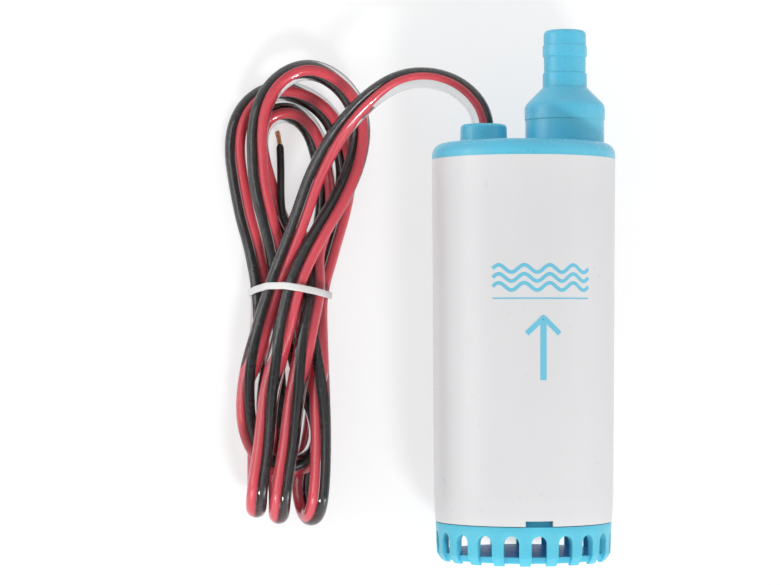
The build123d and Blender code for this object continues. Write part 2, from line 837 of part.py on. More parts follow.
def corner_radii(points):
    """The radius at each corner of a route: as large as the two runs beside it allow."""
    radii = []
    for before, here, after in zip(points, points[1:], points[2:]):
        arriving = here - before
        leaving = after - here
        half_turn = math.radians(arriving.get_angle(leaving)) / 2
        radii.append(0.45 * min(arriving.length, leaving.length) / math.tan(half_turn))
    return radii


def tube_along(points, radius, name):
    """A round tube along straight runs joined by tangent arcs."""
    radii = corner_radii(points)
    with BuildPart() as tube:
        with BuildLine() as route:
            FilletPolyline(*points, radius=radii)
        with BuildSketch(Plane(origin=points[0], z_dir=points[1] - points[0])):
            Circle(radius)
        sweep()
    length = route.wires()[0].length
    ratio = tube.part.volume / (math.pi * radius**2 * length)
    print(name, "length", round(length, 1), "volume ratio", round(ratio, 4))
    print(name, "radii in diameters", [round(corner / (2 * radius), 1) for corner in radii])
    return tube


# Cable lead: out of the boss, over to the left and down towards the tie
lead_points = [
    Vector(boss_x, foot_y + jacket_foot_station, axis_height),
    Vector(boss_x, 46.8, axis_height),
    Vector(-15.6, 53.4, 23.4),
    Vector(-24.0, 56.6, 23.0),
    Vector(-33.6, 54.9, 21.4),
    Vector(-43.4, 46.6, 18.8),
    Vector(-50.8, 36.8, 16.6),
    Vector(-55.8, 26.4, 14.9),
    Vector(-59.2, 17.8, 13.4),
]
cable_lead = tube_along(lead_points, cable_radius, "cable_lead")
save(cable_lead, "cable_lead")

# Hank: each turn leaves the tie in the lower layer, goes round its top loop, comes back over
# the tie in the upper layer and folds under at the bottom
tie_y = 1.5
lane_step = 5.95
lower_lane_x = -69.1
upper_lane_x = -66.15
floor_z = cable_radius + 0.05
lower_tie_z = 4.1
upper_tie_z = 10.1
crossing_z = 15.8
between_z = 8.65
fold_top_z = 17.75
waist_y = -21.0
forward = Vector(0, 1, 0)
back = Vector(0, -1, 0)
across = Vector(1, 0, 0)
slant_back = Vector(-0.11, -0.994, 0).normalized()
steep_back = Vector(-0.3, -0.954, 0).normalized()


def lower_lane(number):
    """Where a strand passes under the tie in the lower layer."""
    return Vector(lower_lane_x + number * lane_step, tie_y, lower_tie_z)


def upper_lane(number, height=upper_tie_z):
    """Where a strand passes under the tie in the upper layer."""
    return Vector(upper_lane_x + number * lane_step, tie_y, height)


def top_loop(left_x, left_y, apex_x, apex_y, right_x, right_y, height):
    """The three places that give a top loop its size: left side, top and right side."""
    return [
        (Vector(left_x, left_y, height), forward),
        (Vector(apex_x, apex_y, height), across),
        (Vector(right_x, right_y, height), back),
    ]


def bottom_fold(start_x, end_x, fold_y, start_z):
    """The two ends of a half turn that takes a strand from the upper layer to the floor."""
    return [
        (Vector(start_x, fold_y, start_z), back),
        (Vector(end_x, fold_y, floor_z), forward),
    ]


hank_start = lead_points[-1]
hank_way = (lead_points[-1] - lead_points[-2]).normalized()
straight_end = 2 * cable_radius
hank_knots = [
    (hank_start + hank_way * straight_end, hank_way),
    (upper_lane(0), steep_back),
    (Vector(-71.6, -36.0, between_z), back),
    (Vector(-55.5, -36.0, between_z), forward),
    (Vector(-56.0, waist_y, between_z), forward),
    (lower_lane(2), forward),
    *top_loop(-64.6, 34.0, -57.4, 46.2, -50.2, 36.0, floor_z),
    (Vector(-51.4, 23.5, floor_z), back),
    (upper_lane(2), slant_back),
    (Vector(-57.5, waist_y, 15.6), slant_back),
    *bottom_fold(-62.6, -62.6, -48.8, fold_top_z),
    (lower_lane(1), forward),
    (Vector(-66.2, 22.0, between_z), Vector(-0.12, 0.993, 0).normalized()),
    *top_loop(-68.3, 38.5, -54.9, 58.2, -41.8, 41.0, between_z),
    (Vector(-46.6, 22.5, crossing_z), Vector(-0.42, -0.907, 0).normalized()),
    (upper_lane(1, crossing_z - 0.3), steep_back),
    (Vector(-63.45, waist_y, 15.6), slant_back),
    *bottom_fold(-68.5, -68.5, -47.2, fold_top_z),
    (lower_lane(0), forward),
    *top_loop(-74.6, 36.0, -60.6, 53.8, -43.9, 37.0, floor_z),
    (Vector(-44.2, 24.5, floor_z), back),
    (upper_lane(3), slant_back),
    (Vector(-50.85, waist_y, 15.3), back),
    *bottom_fold(-51.6, -56.6, -49.0, fold_top_z - 0.8),
    (Vector(-51.0, waist_y, floor_z), forward),
    (lower_lane(3) + back * 3, forward),
]
tail_end = hank_knots[-1][0] + forward * straight_end


def biarc(start, start_way, end, end_way):
    """Two arcs, tangent to each other, from one knot to the next."""
    step = end - start
    along = step.dot(start_way + end_way)
    bend = 2 * (1 - start_way.dot(end_way))
    if bend < 1e-6:
        reach = step.dot(step) / (2 * along)
    else:
        reach = (math.sqrt(along**2 + bend * step.dot(step)) - along) / bend
    middle = (start + start_way * reach + end - end_way * reach) * 0.5
    for first, last, way in ((start, middle, start_way), (middle, end, end - end_way * reach - middle)):
        if (last - first).get_angle(way) < 0.02:
            Line(first, last)
        else:
            TangentArc(first, last, tangent=way)


with BuildPart() as cable_hank:
    with BuildLine() as hank_line:
        Line(hank_start, hank_knots[0][0])
        for (start, start_way), (end, end_way) in zip(hank_knots, hank_knots[1:]):
            biarc(start, start_way, end, end_way)
        Line(hank_knots[-1][0], tail_end)
    with BuildSketch(Plane(origin=hank_start, z_dir=hank_way)):
        Circle(cable_radius)
    sweep()
save(cable_hank, "cable_hank")


def least_gap(edges, radius, skip_length, spacing=1.0):
    """The least clear gap between stretches of a tube that are further apart along it."""
    places = []
    travelled = 0.0
    for edge in edges:
        count = max(2, round(edge.length / spacing))
        for number in range(count):
            point = edge @ (number / count)
            places.append((travelled + edge.length * number / count, point.X, point.Y, point.Z))
        travelled += edge.length
    least = (1e9, None, None)
    for number, (here, x, y, z) in enumerate(places):
        for there, u, v, w in places[number + 1 :]:
            if there - here > skip_length:
                distance = math.dist((x, y, z), (u, v, w))
                if distance < least[0]:
                    least = (distance, (x, y, z), (u, v, w))
    return least[0] - 2 * radius, least[1], least[2], travelled


hank_gap, place_one, place_two, hank_length = least_gap(hank_line.edges(), cable_radius, 5 * cable_radius)
hank_ratio = cable_hank.part.volume / (math.pi * cable_radius**2 * hank_length)
print("cable_hank least gap to itself", round(hank_gap, 2), "between", place_one, place_two)
print("cable_hank length", round(hank_length, 1), "volume ratio", round(hank_ratio, 4))
arcs = [edge for edge in hank_line.edges() if edge.geom_type == GeomType.CIRCLE]
print("cable_hank tightest radius", round(min(edge.radius for edge in arcs), 2))

# Tie: a thin band round all eight strands
tie_width = 1.7
tie_thickness = 0.7
tie_gap = 0.45
strand_places = [(lower_lane(number).X, lower_lane(number).Z) for number in range(4)]
strand_places += [(upper_lane(number).X, upper_lane(number).Z) for number in (0, 2, 3)]
strand_places.append((upper_lane(1).X, crossing_z - 0.3))
tie_plane = Plane(origin=(0, tie_y + tie_width / 2, 0), x_dir=(1, 0, 0), z_dir=(0, -1, 0))
with BuildPart() as cable_tie:
    with BuildSketch(tie_plane) as tie_outer:
        with Locations(*strand_places):
            Circle(cable_radius + tie_gap + tie_thickness)
        make_hull()
    extrude(amount=tie_width)
    with BuildSketch(tie_plane):
        with Locations(*strand_places):
            Circle(cable_radius + tie_gap)
        make_hull()
    extrude(amount=tie_width, mode=Mode.SUBTRACT)
save(cable_tie, "cable_tie")

# Bare end: the two cores leave the jacket, and a little copper leaves each core
core_offset = core_wire_radius + 0.15
black_points = [
    tail_end + Vector(-core_offset, 0, 0),
    tail_end + Vector(-core_offset, 3.0, 0),
    Vector(-55.6, 14.5, 1.3),
    Vector(-58.6, 22.0, 1.0),
    Vector(-59.8, 35.2, 1.1),
]
red_points = [
    tail_end + Vector(core_offset, 0, 0),
    tail_end + Vector(core_offset, 2.4, 0),
    Vector(-53.3, 14.3, 1.1),
    Vector(-55.8, 20.5, 1.0),
]
for colour, points in (("black", black_points), ("red", red_points)):
    core_end = tube_along(points, core_wire_radius, f"core_end_{colour}")
    save(core_end, f"core_end_{colour}")
    way = (points[-1] - points[-2]).normalized()
    with BuildPart() as copper_end:
        with BuildSketch(Plane(origin=points[-1], z_dir=way)):
            Circle(copper_radius)
        extrude(amount=3.4)
    save(copper_end, f"copper_end_{colour}")

# Inner ends of the two cores: from the jacket's foot down to the brush arms
jacket_foot = Vector(boss_x, foot_y + jacket_foot_station, axis_height)
terminal_y = foot_y + arm_top_station
inner_black_points = [
    jacket_foot + Vector(-core_offset, 0, 0),
    Vector(boss_x - core_offset, terminal_y + 5.0, axis_height),
    Vector(-arm_x - arm_thickness / 2 - 0.2, terminal_y + 2.4, axis_height),
    Vector(-arm_x - arm_thickness / 2, terminal_y, axis_height),
]
inner_red_points = [
    jacket_foot + Vector(core_offset, 0, 0),
    jacket_foot + Vector(core_offset, -6.0, 0),
    Vector(boss_x + core_offset, terminal_y + 5.0, axis_height + 1.0),
    Vector(-3.4, terminal_y + 4.2, axis_height + 1.0),
    Vector(4.0, terminal_y + 4.1, axis_height + 0.5),
    Vector(arm_x + arm_thickness / 2 - 0.4, terminal_y + 3.3, axis_height),
    Vector(arm_x + arm_thickness / 2, terminal_y, axis_height),
]
for colour, points in (("black", inner_black_points), ("red", inner_red_points)):
    inner_core = tube_along(points, core_wire_radius, f"inner_core_{colour}")
    save(inner_core, f"inner_core_{colour}")
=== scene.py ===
import json
import math
import random

import bpy
import numpy as np
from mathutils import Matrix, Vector
from mathutils.bvhtree import BVHTree
from mathutils.geometry import convex_hull_2d


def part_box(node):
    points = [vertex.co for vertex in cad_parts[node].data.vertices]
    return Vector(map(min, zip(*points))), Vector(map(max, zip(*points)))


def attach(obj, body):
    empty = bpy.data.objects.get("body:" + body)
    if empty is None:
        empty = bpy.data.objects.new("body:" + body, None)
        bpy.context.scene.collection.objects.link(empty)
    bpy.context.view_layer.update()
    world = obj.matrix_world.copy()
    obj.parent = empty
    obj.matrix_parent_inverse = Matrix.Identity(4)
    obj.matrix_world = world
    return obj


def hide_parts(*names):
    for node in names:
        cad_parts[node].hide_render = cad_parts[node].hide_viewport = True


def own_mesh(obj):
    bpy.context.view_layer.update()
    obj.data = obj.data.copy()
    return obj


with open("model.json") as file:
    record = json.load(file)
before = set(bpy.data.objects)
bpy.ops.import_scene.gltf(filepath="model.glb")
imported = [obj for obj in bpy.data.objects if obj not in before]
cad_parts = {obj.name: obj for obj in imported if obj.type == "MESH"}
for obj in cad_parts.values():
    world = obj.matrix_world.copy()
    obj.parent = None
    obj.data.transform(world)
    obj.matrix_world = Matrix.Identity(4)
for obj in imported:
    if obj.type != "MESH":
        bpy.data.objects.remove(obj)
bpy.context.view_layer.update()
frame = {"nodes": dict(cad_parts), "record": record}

nodes = frame["nodes"]
random.seed(7)

# Sizes, in metres
cable_diameter = 0.0054
core_radius = 0.00115
bare_core_radius = 0.001
core_end_round = 0.0003
strand_radius = 0.00021
strand_end_round = 0.0001
tie_width = 0.0018
tie_thickness = 0.0007
tie_clearance = 0.00004
tie_y = 0.0016
tie_middle = Vector((-0.0603, 0.0015, 0.008))
hank_right = -0.045
axis_height = 0.02325
spring_wire = 0.00044

# Shares and counts
core_spacing = 1.02   # a core's distance from the pair's middle, in core radii
end_share = 0.72      # what a tube's rounded end keeps of its radius
strand_twist = 550    # in radians a metre
strand_flare = 0.12   # how much further out the strands are at their tips
spring_turns = 6
closed_turns = 0.8    # at each end of the spring
closed_pitch = 1.15   # of the closed turns, in wires


# Camera: it looks straight down on the pump, as the photograph does
camera_data = bpy.data.cameras.new("camera")
camera = bpy.data.objects.new("camera", camera_data)
bpy.context.scene.collection.objects.link(camera)
bpy.context.scene.camera = camera
camera.location = (-0.0339, -0.0089, 0.68125)
camera.rotation_euler = (0, 0, 0)
camera_data.sensor_width = 36
camera_data.lens = 119.54
camera_data.shift_y = 37.5 / 780
camera_data.dof.use_dof = False


def link(obj):
    bpy.context.scene.collection.objects.link(obj)
    return obj


def new_mesh(name, points, faces, smooth=True):
    """A mesh object made from points and faces."""
    data = bpy.data.meshes.new(name)
    data.from_pydata([tuple(p) for p in points], [], faces)
    data.validate()
    data.update()
    data.polygons.foreach_set("use_smooth", [smooth] * len(data.polygons))
    return link(bpy.data.objects.new(name, data))


def new_curve(name, points, resolution):
    """A curve object of one smooth NURBS spline with these control points."""
    data = bpy.data.curves.new(name, "CURVE")
    data.dimensions = "3D"
    data.resolution_u = resolution
    spline = data.splines.new("NURBS")
    spline.points.add(len(points) - 1)
    for place, point in zip(spline.points, points):
        place.co = (*point, 1)
    spline.order_u = 3
    spline.use_endpoint_u = True
    return link(bpy.data.objects.new(name, data))


def line_of(curve):
    """The points along a curve that has no bevel yet, in order."""
    data = bpy.data.meshes.new_from_object(curve)
    points = np.array([v.co[:] for v in data.vertices])
    bpy.data.meshes.remove(data)
    return points


def smooth_line(name, points, resolution):
    """The points along a smooth NURBS spline with these control points."""
    guide = new_curve(name + "_guide", points, resolution)
    line = line_of(guide)
    bpy.data.objects.remove(guide)
    return line


def tangents(line):
    """Unit directions along a line of points."""
    steps = np.gradient(line, axis=0)
    return steps / np.linalg.norm(steps, axis=1)[:, None]


def along(line):
    """Distance from the line's start to each of its points."""
    steps = np.linalg.norm(np.diff(line, axis=0), axis=1)
    return np.concatenate([[0], np.cumsum(steps)])


def steady_frames(line):
    """Two directions square to the line at each point, which turn as little as they can."""
    ways = tangents(line)
    first = np.cross(ways[0], (0, 0, 1.0))
    first /= np.linalg.norm(first)
    sides = [first]
    for way in ways[1:]:
        side = sides[-1] - way * (sides[-1] @ way)
        sides.append(side / np.linalg.norm(side))
    sides = np.array(sides)
    return ways, sides, np.cross(ways, sides)


def skin(rings, sides, closed=False):
    """Faces between rings of points, with this many points in each ring."""
    faces = []
    for i in range(rings if closed else rings - 1):
        j = (i + 1) % rings
        for k in range(sides):
            m = (k + 1) % sides
            faces.append((i * sides + k, i * sides + m, j * sides + m, j * sides + k))
    return faces


def tube(name, line, radius, sides, end_round=0.0):
    """A closed round tube along a line of points, of one radius or one per point.

    Its ends are rounded over the length end_round.
    """
    _, across, up = steady_frames(line)
    distance = along(line)
    total = distance[-1]
    points = []
    for centre, a, u, s, here in zip(line, across, up, distance, np.broadcast_to(radius, len(line))):
        if end_round > 0:
            edge = min(s, total - s) / end_round
            if edge < 1:
                here = here * (end_share + (1 - end_share) * math.sqrt(1 - (1 - edge) ** 2))
        for k in range(sides):
            turn = math.tau * k / sides
            points.append(centre + here * (math.cos(turn) * a + math.sin(turn) * u))
    faces = skin(len(line), sides)
    last = (len(line) - 1) * sides
    faces.append(tuple(range(sides))[::-1])
    faces.append(tuple(range(last, last + sides)))
    return new_mesh(name, points, faces)


# The cable's route: part.py's points, moved and added to so that they follow the photographed strands.
# It runs from the boss to the tied hank, round its flat turn, loops and three folds, and ends inside
# the tie. Each stretch crosses the hank once, in front or at the back, or is a loop or the lead
route = {
    "lead": [
        (-0.0101, 0.03135, 0.02325), (-0.0101, 0.0382, 0.02325), (-0.0101, 0.0432, 0.02325),
        (-0.0113, 0.0474, 0.0233), (-0.0142, 0.051, 0.0234), (-0.0182, 0.0538, 0.0233),
        (-0.023, 0.0552, 0.023), (-0.0278, 0.0554, 0.0225), (-0.0326, 0.0542, 0.0216),
        (-0.0372, 0.0516, 0.0205), (-0.0414, 0.048, 0.0194), (-0.0452, 0.0439, 0.0183),
        (-0.0486, 0.0392, 0.0171), (-0.0514, 0.0344, 0.0161), (-0.0537, 0.0296, 0.0152),
        (-0.0554, 0.0249, 0.0144), (-0.057, 0.0203, 0.0136), (-0.0587, 0.0158, 0.0129),
        (-0.0605, 0.0112, 0.0121), (-0.0622, 0.0069, 0.0114), (-0.0639, 0.0024, 0.0104),
    ],
    "front_1": [
        (-0.0653, -0.0022, 0.0097), (-0.067, -0.0078, 0.009), (-0.0687, -0.0134, 0.0087),
        (-0.0702, -0.019, 0.00865), (-0.0711, -0.025, 0.00865), (-0.0713, -0.031, 0.00865),
        (-0.0703, -0.0366, 0.00865), (-0.0676, -0.0416, 0.00865), (-0.0634, -0.0446, 0.00865),
        (-0.0584, -0.0448, 0.00865), (-0.0541, -0.0422, 0.00865), (-0.0521, -0.0372, 0.00865),
    ],
    "back_3": [
        (-0.0526, -0.0314, 0.00865), (-0.0547, -0.0258, 0.00865), (-0.0569, -0.0204, 0.00865),
        (-0.0582, -0.0144, 0.00865), (-0.0587, -0.0082, 0.00865), (-0.0588, -0.0026, 0.009),
        (-0.0586, 0.0024, 0.0091),
    ],
    "small_loop": [
        (-0.0581, 0.007, 0.0079), (-0.0587, 0.0112, 0.0049), (-0.0605, 0.0154, 0.0032),
        (-0.0629, 0.0198, 0.00275), (-0.0648, 0.0248, 0.00275), (-0.0665, 0.0302, 0.00275),
        (-0.068, 0.0358, 0.00275), (-0.0686, 0.0406, 0.00275), (-0.0678, 0.0444, 0.00275),
        (-0.0653, 0.0473, 0.00275), (-0.0613, 0.0483, 0.00275), (-0.0573, 0.047, 0.00275),
        (-0.054, 0.043, 0.00275), (-0.052, 0.0366, 0.0029), (-0.051, 0.0308, 0.0042),
        (-0.0506, 0.0252, 0.0059), (-0.0509, 0.0202, 0.0069), (-0.052, 0.0162, 0.0069),
        (-0.0533, 0.0124, 0.0071), (-0.0537, 0.0088, 0.0081), (-0.0534, 0.0052, 0.0095),
        (-0.0534, 0.0014, 0.0108),
    ],
    "front_3": [
        (-0.0539, -0.0024, 0.012), (-0.0548, -0.0068, 0.0132), (-0.0556, -0.0114, 0.014),
        (-0.0565, -0.0162, 0.0144), (-0.0574, -0.021, 0.0144), (-0.0584, -0.0264, 0.0145),
        (-0.0592, -0.0322, 0.0151), (-0.0598, -0.0382, 0.016), (-0.0609, -0.0446, 0.0173),
        (-0.0619, -0.0516, 0.0176), (-0.0625, -0.0564, 0.0133), (-0.0629, -0.0565, 0.0071),
        (-0.063, -0.052, 0.00275), (-0.0631, -0.046, 0.00275),
    ],
    "back_2": [
        (-0.0631, -0.038, 0.00275), (-0.0631, -0.029, 0.00275), (-0.0631, -0.02, 0.00275),
        (-0.063, -0.012, 0.00275), (-0.0628, -0.0054, 0.00275), (-0.0628, -0.0006, 0.0036),
        (-0.063, 0.004, 0.0036),
    ],
    "tall_loop": [
        (-0.0634, 0.0096, 0.0054), (-0.0643, 0.0146, 0.0073), (-0.0656, 0.0198, 0.0084),
        (-0.067, 0.025, 0.00865), (-0.068, 0.0302, 0.00865), (-0.0684, 0.036, 0.00865),
        (-0.0685, 0.042, 0.00865), (-0.0676, 0.048, 0.00865), (-0.065, 0.0534, 0.00865),
        (-0.0606, 0.0574, 0.00865), (-0.0552, 0.059, 0.00865), (-0.05, 0.0574, 0.00865),
        (-0.0456, 0.0538, 0.00865), (-0.0427, 0.0492, 0.00865), (-0.0415, 0.0438, 0.0087),
        (-0.042, 0.038, 0.0096), (-0.0435, 0.0326, 0.0108), (-0.0457, 0.0274, 0.012),
        (-0.0483, 0.0224, 0.0128), (-0.051, 0.018, 0.0132), (-0.0534, 0.0138, 0.0136),
        (-0.0556, 0.0096, 0.014), (-0.0574, 0.0054, 0.0144), (-0.0589, 0.0012, 0.0147),
    ],
    "front_2": [
        (-0.06, -0.0032, 0.0146), (-0.0611, -0.0082, 0.0138), (-0.0623, -0.0134, 0.0128),
        (-0.0636, -0.0186, 0.0124), (-0.0648, -0.0236, 0.0129), (-0.0655, -0.0288, 0.0138),
        (-0.066, -0.0346, 0.0148), (-0.0666, -0.0406, 0.0162), (-0.0674, -0.046, 0.0174),
        (-0.0681, -0.0514, 0.0166), (-0.0685, -0.0549, 0.0126), (-0.0686, -0.0548, 0.0068),
        (-0.0686, -0.0502, 0.00275), (-0.0686, -0.0444, 0.00275),
    ],
    "back_1": [
        (-0.0686, -0.0364, 0.00275), (-0.0686, -0.028, 0.00275), (-0.0684, -0.0196, 0.00275),
        (-0.0681, -0.012, 0.00275), (-0.0677, -0.0054, 0.00275), (-0.0676, -0.0006, 0.0036),
        (-0.0679, 0.004, 0.0036),
    ],
    "wide_loop": [
        (-0.0689, 0.0096, 0.00275), (-0.0701, 0.0148, 0.00275), (-0.0717, 0.0202, 0.00275),
        (-0.0728, 0.0256, 0.00275), (-0.0738, 0.0312, 0.00275), (-0.0746, 0.037, 0.00275),
        (-0.0744, 0.0422, 0.00275), (-0.073, 0.0468, 0.00275), (-0.0703, 0.0506, 0.00275),
        (-0.0664, 0.0531, 0.00275), (-0.0616, 0.054, 0.00275), (-0.0568, 0.0527, 0.00275),
        (-0.0528, 0.0503, 0.00275), (-0.0496, 0.047, 0.00275), (-0.0475, 0.0428, 0.00275),
        (-0.046, 0.0378, 0.00275), (-0.0453, 0.0322, 0.00275), (-0.0459, 0.0264, 0.00275),
        (-0.0472, 0.0206, 0.00275), (-0.0489, 0.015, 0.00275), (-0.0504, 0.0096, 0.00275),
        (-0.0519, 0.0046, 0.0034), (-0.0528, -0.0002, 0.0041),
    ],
    "front_4": [
        (-0.0529, -0.005, 0.0059), (-0.0527, -0.0096, 0.0082), (-0.0525, -0.0142, 0.0103),
        (-0.0523, -0.0186, 0.0116), (-0.0521, -0.0232, 0.013), (-0.0519, -0.0284, 0.0141),
        (-0.0517, -0.0342, 0.0146), (-0.0517, -0.0402, 0.0157), (-0.0518, -0.0462, 0.0172),
        (-0.0523, -0.0524, 0.0174), (-0.0534, -0.0566, 0.0134), (-0.0552, -0.0572, 0.0074),
        (-0.0567, -0.0534, 0.003), (-0.0569, -0.0484, 0.00275),
    ],
    "back_4": [
        (-0.0556, -0.0426, 0.00275), (-0.0542, -0.0364, 0.00275), (-0.0534, -0.03, 0.00275),
        (-0.0534, -0.0234, 0.00275), (-0.0544, -0.017, 0.00275), (-0.056, -0.011, 0.00275),
        (-0.0575, -0.0054, 0.0028), (-0.0578, -0.0006, 0.00355), (-0.0578, 0.0039, 0.00355),
    ],
}

# The way from the cable's centre to its black core, by stretch and point of the route.
# The red core lies opposite
LEFT, RIGHT, UP = (-1, 0, 0), (1, 0, 0), (0, 0, 1)
lay = {
    "lead": {0: (0.6, 0, -0.8), 3: (0.65, 0.1, -0.75), 5: (0.3, 0.3, -0.9), 7: (-0.05, 0.33, -0.94),
             9: (-0.55, 0.75, -0.4), 12: (-0.85, 0.5, -0.15), 16: (-0.95, 0.3, 0.1), 20: LEFT},
    "front_1": {1: (-0.8, 0, 0.6), 3: UP, 5: (0.85, 0, 0.5), 7: (0.6, 0.6, 0.5), 9: UP,
                11: (-0.6, 0, 0.8)},
    "back_3": {2: LEFT, 5: LEFT},
    "small_loop": {2: LEFT, 5: LEFT, 8: (-0.6, 0.4, -0.7), 10: (0, 0.12, -0.98), 12: (-0.5, 0, -0.85),
                   14: (-0.8, 0, -0.6), 16: (-0.95, 0, -0.3), 19: LEFT},
    "front_3": {1: (-0.85, 0, 0.5), 3: (-0.3, 0, 0.95), 5: (0.6, 0, 0.8), 7: (0.95, 0, 0.3), 9: RIGHT,
                12: RIGHT},
    "back_2": {1: (0.7, 0, 0.7), 3: UP, 5: (-0.7, 0, 0.7)},
    "tall_loop": {1: LEFT, 5: LEFT, 8: (-0.5, 0.3, -0.8), 10: (0, 0.12, -0.98), 13: (-0.4, -0.3, -0.85),
                  15: (-0.7, 0, -0.7), 18: (-0.95, 0, -0.3), 21: LEFT, 23: LEFT},
    "front_2": {1: (-0.8, 0, 0.6), 3: (0.1, 0, 1), 5: (0.8, 0, 0.6), 7: RIGHT, 10: RIGHT, 13: RIGHT},
    "back_1": {1: (0.7, 0, 0.7), 3: UP, 5: (-0.7, 0, 0.7)},
    "wide_loop": {1: LEFT, 5: LEFT, 8: (-0.5, 0.4, -0.75), 10: (0, 0.12, -0.98), 13: (-0.4, -0.4, -0.8),
                  15: (-0.8, 0, -0.6), 18: LEFT, 21: LEFT},
    "front_4": {1: (-0.8, 0, 0.6), 3: UP, 5: (0.8, 0, 0.6), 7: RIGHT, 9: RIGHT, 12: (0.8, -0.6, 0)},
    "back_4": {1: (0.9, 0, 0.4), 4: UP, 6: (-0.7, 0, 0.7), 8: LEFT},
}

# The lead's jacket is loose on its cores. By point of the route: their radius, and how far the pair
# lies from the jacket's centre in x and y, towards the outside of the arch. From point 13 on, the
# cores fill the jacket
lead_cores = {
    0: (bare_core_radius, 0, 0), 2: (0.00076, 0.00058, 0), 4: (0.00072, 0.00045, 0.0003),
    6: (0.0007, 0.0001, 0.00055), 8: (0.00072, -0.00025, 0.00045), 10: (0.0009, -0.0002, 0.0002),
    13: (core_radius, 0, 0),
}

cable_points = [point for stretch in route.values() for point in stretch]
cable = new_curve("cable", cable_points, resolution=10)
centreline = line_of(cable)
cable.data.bevel_depth = cable_diameter / 2
cable.data.bevel_resolution = 10
cable.data.use_fill_caps = True


def spline_share(number):
    """How far along the cable's spline, as a share of it, this control point pulls most."""
    return (number - 0.5) / (len(cable_points) - 2)


def core_directions(line):
    """The direction from the cable's centre to its black core at each point of the line."""
    _, sides, ups = steady_frames(line)
    distance = along(line)
    marks, angles = [], []
    count = -1
    for name, stretch in route.items():
        for number in range(len(stretch)):
            count += 1
            if number not in lay[name]:
                continue
            at = round(min(max(spline_share(count), 0), 1) * (len(line) - 1))
            wanted = np.array(lay[name][number], float)
            angle = math.atan2(wanted @ ups[at], wanted @ sides[at])
            if angles:
                angle += math.tau * round((angles[-1] - angle) / math.tau)
            marks.append(distance[at])
            angles.append(angle)
    angle = np.interp(distance, marks, angles)
    reach = 0.005
    smooth = np.array([
        np.average(angle, weights=np.exp(-((distance - s) / reach) ** 2)) for s in distance
    ])
    return np.cos(smooth)[:, None] * sides + np.sin(smooth)[:, None] * ups


def core_sizes(line):
    """The cores' radius, and the pair's lean from the cable's centre, at each point of the line."""
    marks = [spline_share(number) * (len(line) - 1) for number in lead_cores]
    count = np.arange(len(line))
    radius, x, y = (np.interp(count, marks, column) for column in zip(*lead_cores.values()))
    return radius, np.stack([x, y, 0 * x], axis=1)


black_way = core_directions(centreline)

# The bare ends of the cores past the jacket: the black one leans over the small loop's foot
black_end_points = [
    (-0.05897, 0.0039, 0.00355), (-0.0585, 0.0056, 0.0035), (-0.0564, 0.0084, 0.0028),
    (-0.0555, 0.0114, 0.0035), (-0.0559, 0.0142, 0.0057), (-0.0576, 0.0162, 0.0073),
    (-0.0602, 0.0179, 0.0076), (-0.0619, 0.0208, 0.007), (-0.0624, 0.0254, 0.0054),
    (-0.0625, 0.0306, 0.0028), (-0.0626, 0.0352, 0.0012), (-0.0628, 0.0398, 0.00105),
]
red_end_points = [
    (-0.05663, 0.0039, 0.00355), (-0.0563, 0.006, 0.003), (-0.0552, 0.009, 0.0014),
    (-0.055, 0.0128, 0.00105), (-0.0562, 0.0165, 0.00105),
]
copper_points = {
    "black": [(-0.0627, 0.0385, 0.001), (-0.063, 0.0415, 0.00105), (-0.0636, 0.0434, 0.0012)],
    "red": [(-0.0557, 0.0155, 0.001), (-0.0566, 0.0175, 0.001), (-0.0576, 0.0197, 0.0009)],
}


def core(name, way, end_points):
    """One insulated core: inside the jacket, and on past its end, where it narrows to its bare size."""
    end_line = smooth_line(name, end_points, 10)
    radius, lean = core_sizes(centreline)
    inside = centreline + lean + way * (radius * core_spacing)[:, None]
    line = np.concatenate([inside, end_line[2:]])
    radius = np.concatenate([radius, np.full(len(end_line) - 2, core_radius)])
    narrow_before, narrow_over = 0.001, 0.003
    past_jacket = along(line) - along(inside)[-1]
    bare = np.clip((past_jacket + narrow_before) / narrow_over, 0, 1)
    return tube(name, line, radius * (1 - bare) + bare_core_radius * bare, 16, core_end_round)


def strands(name, points):
    """Seven bare copper strands: six twisted round the last. Their ends are cut unevenly."""
    line = smooth_line(name, points, 14)
    _, sides, ups = steady_frames(line)
    distance = along(line)
    outer = 6
    made = []
    for k in range(outer + 1):
        reach = 0 if k == outer else 2 * strand_radius
        turn = math.tau * k / outer + distance * strand_twist
        grow = 1 + strand_flare * (distance / distance[-1]) * math.sin(2.1 * k)
        x, y = reach * grow * np.cos(turn), reach * grow * np.sin(turn)
        path = line + x[:, None] * sides + y[:, None] * ups
        path = path[: len(path) - random.choice([0, 1, 1, 2])]
        made.append(tube(f"{name}_{k}", path, strand_radius, 8, strand_end_round))
    bpy.ops.object.select_all(action="DESELECT")
    for piece in made:
        piece.select_set(True)
    bpy.context.view_layer.objects.active = made[0]
    bpy.ops.object.join()
    made[0].name = name
    return made[0]


core_black = core("core_black", black_way, black_end_points)
core_red = core("core_red", -black_way, red_end_points)
copper_black = strands("copper_black", copper_points["black"])
copper_red = strands("copper_red", copper_points["red"])


def tie_place(x):
    """The tie's y at this x: it runs over the hank in a shallow arch, as photographed."""
    return float(np.interp(
        x,
        [-0.0712, -0.069, -0.0655, -0.061, -0.057, -0.053, -0.0495],
        [0.0006, 0.0016, 0.0025, 0.0025, 0.0019, 0.0011, 0.0001],
    ))


